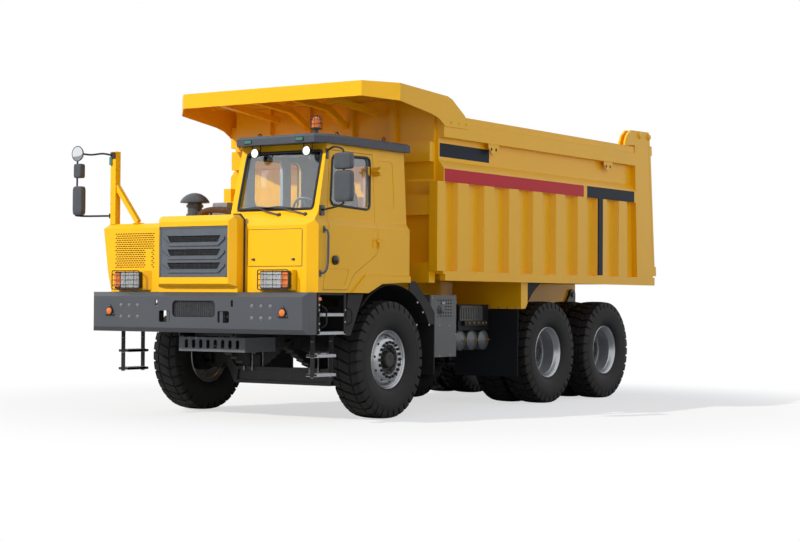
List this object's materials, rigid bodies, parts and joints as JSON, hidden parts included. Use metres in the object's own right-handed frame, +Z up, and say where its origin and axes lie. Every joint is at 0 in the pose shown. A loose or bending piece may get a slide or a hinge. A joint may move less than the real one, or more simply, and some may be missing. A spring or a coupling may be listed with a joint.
{
  "type": "mining dump truck",
  "caption": "Three-axle wide-body mining dump truck with offset cab, bonnet nose, tipping rock bed with cab canopy, telescopic hoists, tailgate and twin rear wheels.",
  "frame": {"origin": "on the ground under the middle of the whole machine", "axes": "+X forward, +Y to the machine's left, +Z up"},
  "size_m": [9.223, 4.1699, 4.243],
  "materials": {
    "body_yellow": "gloss",
    "chassis_dark": "satin",
    "bumper_grey": "satin",
    "trim_black": "matte",
    "tyre_black": "matte",
    "rim_silver": "satin",
    "engine_grey": "satin",
    "glass_tint": "clear",
    "seat_cloth": "matte",
    "hoist_steel": "gloss",
    "lamp_lens": "clear"
  },
  "bodies": {
    "chassis": {"frame_rails": "chassis_dark", "bumper": "bumper_grey", "skid_guard": "chassis_dark", "engine_block": "engine_grey", "engine_hood": "body_yellow", "grille": "trim_black", "cab_shell": "body_yellow", "cab_windshield": "glass_tint", "roof_cap": "trim_black", "driver_seat": "seat_cloth", "dashboard": "trim_black", "side_housing": "body_yellow", "head_lamps": "lamp_lens", "air_intake": "trim_black", "mirror_post": "body_yellow", "right_mirrors": "trim_black", "left_mirrors": "trim_black", "boarding_steps": "trim_black", "front_mudguards": "trim_black", "front_axle": "chassis_dark", "driven_axles": "chassis_dark", "prop_shafts": "chassis_dark", "leaf_springs": "chassis_dark", "battery_box": "chassis_dark", "air_tanks": "chassis_dark", "fuel_tank": "chassis_dark", "hoist_mount": "chassis_dark"},
    "knuckle_left": {"knuckle_left": "chassis_dark"},
    "knuckle_right": {"knuckle_right": "chassis_dark"},
    "tie_rod": {"tie_rod": "chassis_dark"},
    "wheel_front_left": {"tyre_front_left": "tyre_black", "rim_front_left": "rim_silver"},
    "wheel_front_right": {"tyre_front_right": "tyre_black", "rim_front_right": "rim_silver"},
    "wheels_mid_left": {"tyres_mid_left": "tyre_black", "rims_mid_left": "rim_silver"},
    "wheels_mid_right": {"tyres_mid_right": "tyre_black", "rims_mid_right": "rim_silver"},
    "wheels_rear_left": {"tyres_rear_left": "tyre_black", "rims_rear_left": "rim_silver"},
    "wheels_rear_right": {"tyres_rear_right": "tyre_black", "rims_rear_right": "rim_silver"},
    "bed": {"bed_floor": "body_yellow", "bed_side_left": "body_yellow", "bed_side_right": "body_yellow", "bed_front_wall": "body_yellow", "canopy": "body_yellow", "bed_wings": "body_yellow"},
    "tailgate": {"tailgate": "body_yellow"},
    "door": {"cab_door": "body_yellow"},
    "hoist_barrel": {"hoist_barrel": "chassis_dark"},
    "hoist_stage_outer": {"hoist_stage_outer": "hoist_steel"},
    "hoist_stage_inner": {"hoist_stage_inner": "hoist_steel"},
    "hoist_rod": {"hoist_rod": "hoist_steel"}
  },
  "joints": [
    {"name": "steer_left", "type": "hinge", "parent": "chassis", "child": "knuckle_left", "pos_m": [2.75, 1.12, 0.745], "axis": [0, 0, 1], "range_deg": [-30, 30]},
    {"name": "steer_right", "type": "hinge", "parent": "chassis", "child": "knuckle_right", "pos_m": [2.75, -1.12, 0.745], "axis": [0, 0, 1], "range_deg": [-30, 30]},
    {"name": "track_rod", "type": "slide", "parent": "chassis", "child": "tie_rod", "axis": [0, 1, 0], "range_m": [-0.14, 0.14]},
    {"name": "spin_front_left", "type": "hinge", "parent": "knuckle_left", "child": "wheel_front_left", "pos_m": [2.75, 1.47, 0.745], "axis": [0, 1, 0], "continuous": true},
    {"name": "spin_front_right", "type": "hinge", "parent": "knuckle_right", "child": "wheel_front_right", "pos_m": [2.75, -1.47, 0.745], "axis": [0, 1, 0], "continuous": true},
    {"name": "spin_mid_left", "type": "hinge", "parent": "chassis", "child": "wheels_mid_left", "pos_m": [-1.49, 1.15, 0.745], "axis": [0, 1, 0], "continuous": true},
    {"name": "spin_mid_right", "type": "hinge", "parent": "chassis", "child": "wheels_mid_right", "pos_m": [-1.49, -1.15, 0.745], "axis": [0, 1, 0], "continuous": true},
    {"name": "spin_rear_left", "type": "hinge", "parent": "chassis", "child": "wheels_rear_left", "pos_m": [-3.265, 1.15, 0.745], "axis": [0, 1, 0], "continuous": true},
    {"name": "spin_rear_right", "type": "hinge", "parent": "chassis", "child": "wheels_rear_right", "pos_m": [-3.265, -1.15, 0.745], "axis": [0, 1, 0], "continuous": true},
    {"name": "bed_tip", "type": "hinge", "parent": "chassis", "child": "bed", "pos_m": [-4.2, 0, 1.6], "axis": [0, -1, 0], "range_deg": [0, 45]},
    {"name": "tailgate_swing", "type": "hinge", "parent": "bed", "child": "tailgate", "pos_m": [-4.287, 0, 4.117], "axis": [0, 1, 0], "range_deg": [0, 75]},
    {"name": "door_swing", "type": "hinge", "parent": "chassis", "child": "door", "pos_m": [3.095, 1.725, 2.5], "axis": [0, 0, 1], "range_deg": [0, 75]},
    {"name": "hoist_swing", "type": "hinge", "parent": "chassis", "child": "hoist_barrel", "pos_m": [-1.04, 0, 0.56], "axis": [0, -1, 0], "range_deg": [0, 21.8]},
    {"name": "hoist_slide_outer", "type": "slide", "parent": "hoist_barrel", "child": "hoist_stage_outer", "axis": [0.123, 0, 0.9924], "range_m": [0, 0.808]},
    {"name": "hoist_slide_inner", "type": "slide", "parent": "hoist_stage_outer", "child": "hoist_stage_inner", "axis": [0.123, 0, 0.9924], "range_m": [0, 0.808]},
    {"name": "hoist_slide_rod", "type": "slide", "parent": "hoist_stage_inner", "child": "hoist_rod", "axis": [0.123, 0, 0.9924], "range_m": [0, 0.808]}
  ],
  "couplings": [
    {"joint": "steer_right", "follows": "steer_left", "ratio": 1},
    {"joint": "track_rod", "follows": "steer_left", "m_per_rad": -0.26},
    {"joint": "hoist_swing", "follows": "bed_tip", "ratio": 0.47962},
    {"joint": "hoist_slide_outer", "follows": "bed_tip", "m_per_rad": 1.0236},
    {"joint": "hoist_slide_inner", "follows": "bed_tip", "m_per_rad": 1.0236},
    {"joint": "hoist_slide_rod", "follows": "bed_tip", "m_per_rad": 1.0236}
  ]
}
